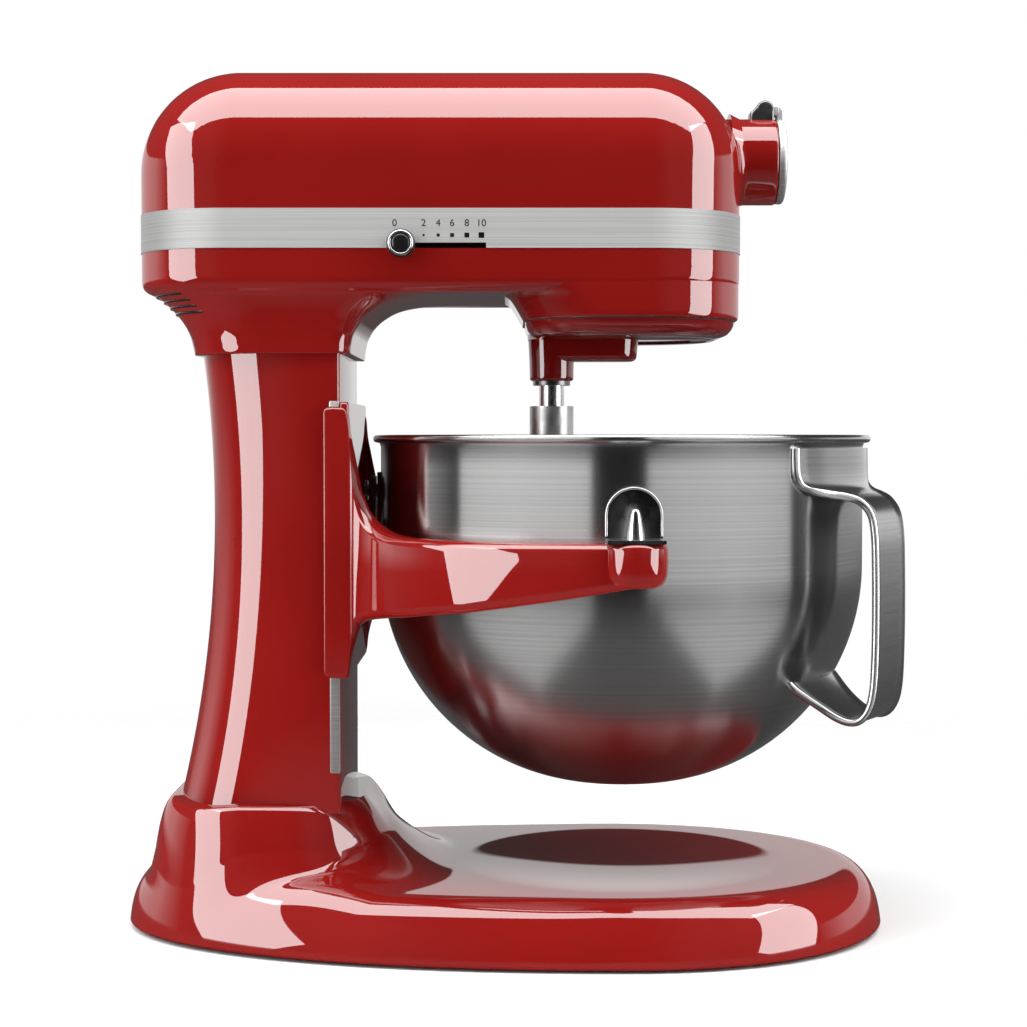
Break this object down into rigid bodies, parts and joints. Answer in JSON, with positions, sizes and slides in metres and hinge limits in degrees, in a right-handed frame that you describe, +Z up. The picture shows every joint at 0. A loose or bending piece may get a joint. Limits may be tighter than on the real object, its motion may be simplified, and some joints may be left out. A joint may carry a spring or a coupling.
{
  "type": "stand mixer",
  "caption": "Bowl-lift stand mixer: swept column and base, long rounded head, planetary flat beater, steel bowl on two lifting arms, front attachment hub.",
  "frame": {"origin": "on the counter, under the middle of the base", "axes": "+Z up, +X towards the attachment hub at the front of the head, +Y to the side of the lift lever"},
  "size_m": [0.3729, 0.287, 0.4134],
  "materials": {
    "red_enamel": "high gloss red enamel",
    "brushed_trim": "brushed along the band",
    "stainless": "fine spun satin",
    "dark_steel": "satin",
    "bright_steel": "polished",
    "cast_metal": "burnished",
    "plain_steel": "machined",
    "magnet": "sintered",
    "bronze": "machined",
    "black_plastic": "gloss black",
    "black_rubber": "matt"
  },
  "bodies": {
    "stand": {"base_casting": "red_enamel", "rubber_feet": "black_rubber", "column_casting": "red_enamel", "column_screws": "plain_steel", "cord_gland": "black_rubber", "lift_bushes": "bronze", "lower_housing": "red_enamel", "upper_housing": "red_enamel", "trim_band": "brushed_trim", "housing_screws": "plain_steel", "gearcase_cover": "red_enamel", "gearcase_gasket": "black_rubber", "cover_screws": "plain_steel", "bearing_bushes": "bronze", "ring_gear": "plain_steel", "gear_bracket": "cast_metal", "motor_can": "plain_steel", "motor_end_cap": "cast_metal", "motor_magnets": "magnet", "brush_holders": "black_plastic", "motor_brushes": "black_plastic", "motor_cradle": "cast_metal", "hub_sleeve": "bright_steel", "hinge_block": "bright_steel", "hinge_pin": "bright_steel", "speed_controller": "black_plastic"},
    "carriage": {"bowl_support": "red_enamel", "locating_pins": "bright_steel", "bowl_latch": "dark_steel"},
    "lift": {"lift_shaft": "plain_steel", "lift_crank": "plain_steel", "crank_pin": "plain_steel", "lift_lever": "plain_steel", "lever_grip": "black_plastic"},
    "bowl": {"mixing_bowl": "stainless", "bowl_handle": "stainless", "bowl_side_brackets": "dark_steel", "bracket_rivets": "dark_steel", "bowl_rear_bracket": "dark_steel"},
    "planetary": {"planetary_carrier": "red_enamel", "centre_shaft": "plain_steel", "centre_bevel_gear": "plain_steel", "beater_bush": "bronze"},
    "beater": {"beater_shaft": "bright_steel", "planet_pinion": "plain_steel", "beater_pin": "bright_steel", "flat_beater": "cast_metal"},
    "layshaft": {"lay_shaft": "plain_steel", "lay_spur_gear": "plain_steel", "bevel_pinion": "plain_steel", "hub_socket": "bright_steel"},
    "rotor": {"armature": "plain_steel", "commutator": "bronze", "motor_fan": "black_plastic", "motor_pinion": "plain_steel"},
    "lid": {"hub_cover": "bright_steel"},
    "hub_knob": {"attachment_knob": "black_plastic"},
    "speed_lever": {"speed_knob": "black_plastic", "speed_knob_ring": "bright_steel", "speed_slider": "black_plastic"}
  },
  "joints": [
    {"name": "bowl_lift", "type": "slide", "parent": "stand", "child": "carriage", "axis": [0, 0, 1], "range_m": [-0.032, 0]},
    {"name": "lift_lever_turn", "type": "hinge", "parent": "stand", "child": "lift", "pos_m": [-0.122, 0, 0.19], "axis": [0, 1, 0], "range_deg": [0, 90]},
    {"name": "bowl_off", "type": "slide", "parent": "carriage", "child": "bowl", "axis": [0, 0, 1], "range_m": [0, 0.015]},
    {"name": "planetary_spin", "type": "hinge", "parent": "stand", "child": "planetary", "pos_m": [0.057, 0, 0.29], "axis": [0, 0, 1], "continuous": true},
    {"name": "beater_spin", "type": "hinge", "parent": "planetary", "child": "beater", "pos_m": [0.023, 0, 0.28], "axis": [0, 0, 1], "continuous": true},
    {"name": "layshaft_spin", "type": "hinge", "parent": "stand", "child": "layshaft", "pos_m": [0.04, 0, 0.374], "axis": [1, 0, 0], "continuous": true},
    {"name": "motor_spin", "type": "hinge", "parent": "stand", "child": "rotor", "pos_m": [-0.09, 0, 0.3452], "axis": [1, 0, 0], "continuous": true},
    {"name": "hub_lid", "type": "hinge", "parent": "stand", "child": "lid", "pos_m": [0.1272, 0, 0.399], "axis": [0, -1, 0], "range_deg": [0, 100]},
    {"name": "hub_knob_turn", "type": "hinge", "parent": "stand", "child": "hub_knob", "pos_m": [0.1242, 0.03, 0.374], "axis": [0, 1, 0], "continuous": true},
    {"name": "speed_slide", "type": "slide", "parent": "stand", "child": "speed_lever", "axis": [1, 0, 0], "range_m": [0, 0.036]}
  ],
  "couplings": [
    {"joint": "lift_lever_turn", "follows": "bowl_lift", "rad_per_m": -49.087},
    {"joint": "beater_spin", "follows": "planetary_spin", "ratio": -4.6},
    {"joint": "layshaft_spin", "follows": "planetary_spin", "ratio": -3},
    {"joint": "motor_spin", "follows": "planetary_spin", "ratio": 9}
  ]
}
